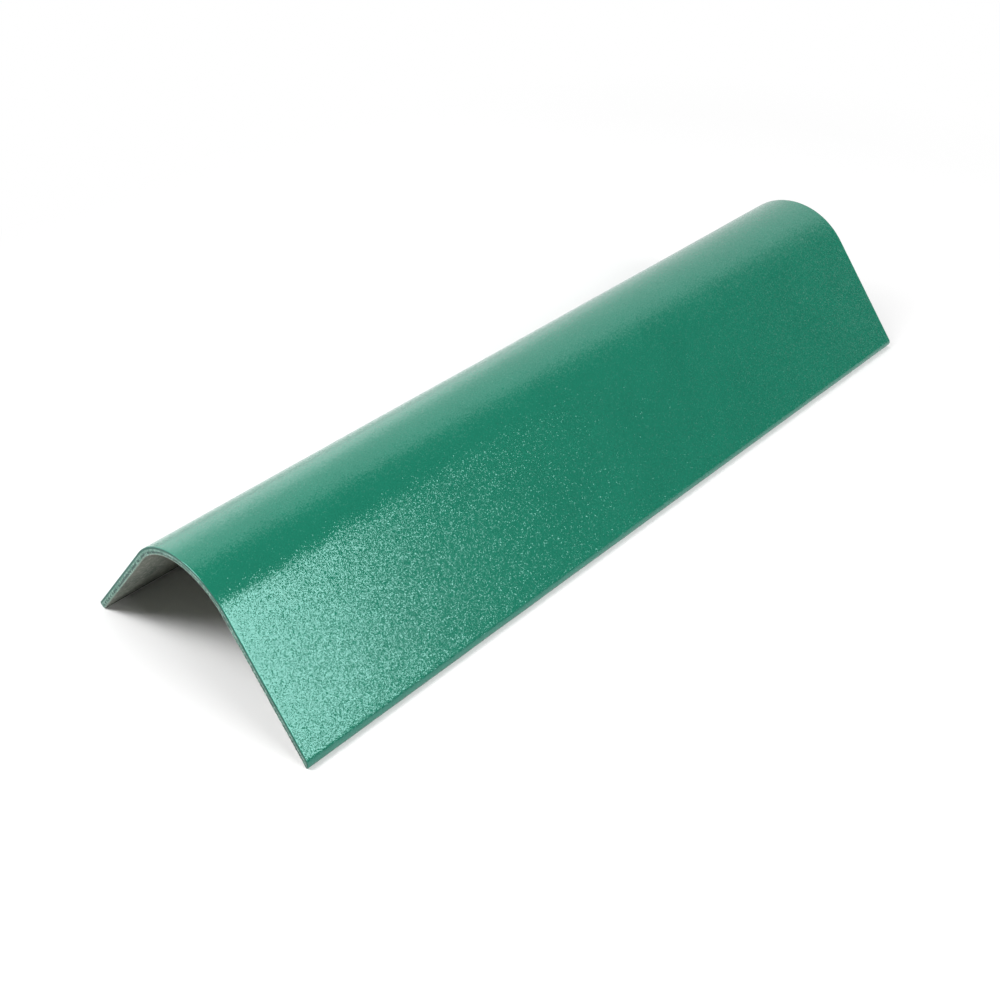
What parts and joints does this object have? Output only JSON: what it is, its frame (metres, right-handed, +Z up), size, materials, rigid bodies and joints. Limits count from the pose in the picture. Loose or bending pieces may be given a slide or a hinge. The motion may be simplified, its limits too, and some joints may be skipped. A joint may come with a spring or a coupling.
{
  "type": "barge cap",
  "caption": "Tent-shaped roof verge cap, moulded from one painted sheet with a soft ridge bend and flat sloping sides, to cover the edge of a gable roof.",
  "frame": {"origin": "on the floor under the middle of the ridge, halfway along the cap", "axes": "+X along the cap, +Y across it towards the back side, +Z up"},
  "size_m": [0.6, 0.1935, 0.0913],
  "materials": {
    "painted_fibre_cement": "semi-gloss green paint with a fine pebbled grain on the outer face, bare grey fibre cement below and on the sawn ends"
  },
  "bodies": {
    "root": {"barge_cap": "painted_fibre_cement"}
  },
  "joints": []
}
